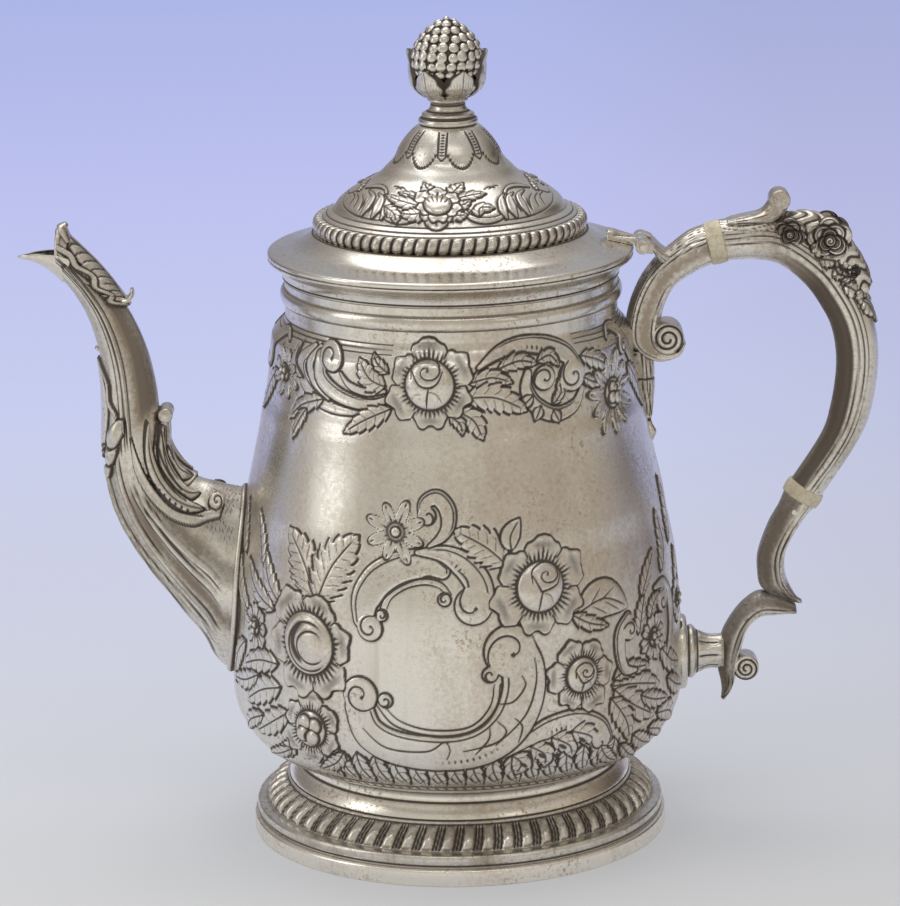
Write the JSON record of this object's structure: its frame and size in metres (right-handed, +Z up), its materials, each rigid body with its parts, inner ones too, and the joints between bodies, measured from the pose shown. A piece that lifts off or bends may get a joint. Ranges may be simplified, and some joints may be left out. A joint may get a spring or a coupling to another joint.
{
  "type": "coffee pot",
  "caption": "Footed pear-shaped silver coffee pot with swan-neck spout, scroll handle with insulating rings and hinged domed lid with berry finial.",
  "frame": {"origin": "centre of the foot's underside, on the axis of the body", "axes": "+Z up, +X towards the handle, -X towards the spout, +Y to the far side when the spout is on the left"},
  "size_m": [0.2588, 0.1384, 0.25],
  "materials": {
    "silver_chased": "raised and chased sterling silver, softly polished, dark oxide left in the chased lines",
    "silver_cast": "cast sterling silver, hand polished, brown tarnish in the recesses",
    "silver_plain": "turned and drawn sterling silver, polished, fine wear scratches",
    "ivory": "ivory-coloured insulating ring, satin, fine grain, yellowed edges",
    "brass": "dull brass"
  },
  "bodies": {
    "pot": {"body_shell": "silver_chased", "neck_band": "silver_plain", "mouth_rim": "silver_plain", "foot_collar": "silver_plain", "foot_gadroon_band": "silver_cast", "foot_plinth": "silver_plain", "spout": "silver_cast", "spout_joint_bead": "silver_cast", "spout_tip_leaf": "silver_cast", "spout_heel_leaf": "silver_cast", "spout_under_leaf": "silver_cast", "handle_upper_socket": "silver_cast", "handle_leaf_drop": "silver_cast", "insulator_upper": "ivory", "handle_grip": "silver_cast", "handle_thumb_scroll": "silver_cast", "handle_rose_spray": "silver_cast", "insulator_lower": "ivory", "handle_lower_socket": "silver_cast", "handle_lower_mount": "silver_cast", "insulator_pins": "silver_plain", "hinge_handle_leaf": "silver_cast", "hinge_pin": "silver_plain"},
    "lid": {"lid_cover": "silver_chased", "lid_gadroon_wire": "silver_cast", "lid_bezel": "silver_plain", "hinge_lid_leaf": "silver_cast", "finial_stem": "silver_plain", "finial_calyx": "silver_cast", "finial_fruit": "silver_cast", "finial_stud": "silver_plain", "finial_washer": "silver_plain", "finial_nut": "brass"}
  },
  "joints": [
    {"name": "lid_hinge", "type": "hinge", "parent": "pot", "child": "lid", "pos_m": [0.0573, 0, 0.181], "axis": [0, 1, 0], "range_deg": [0, 95]}
  ]
}
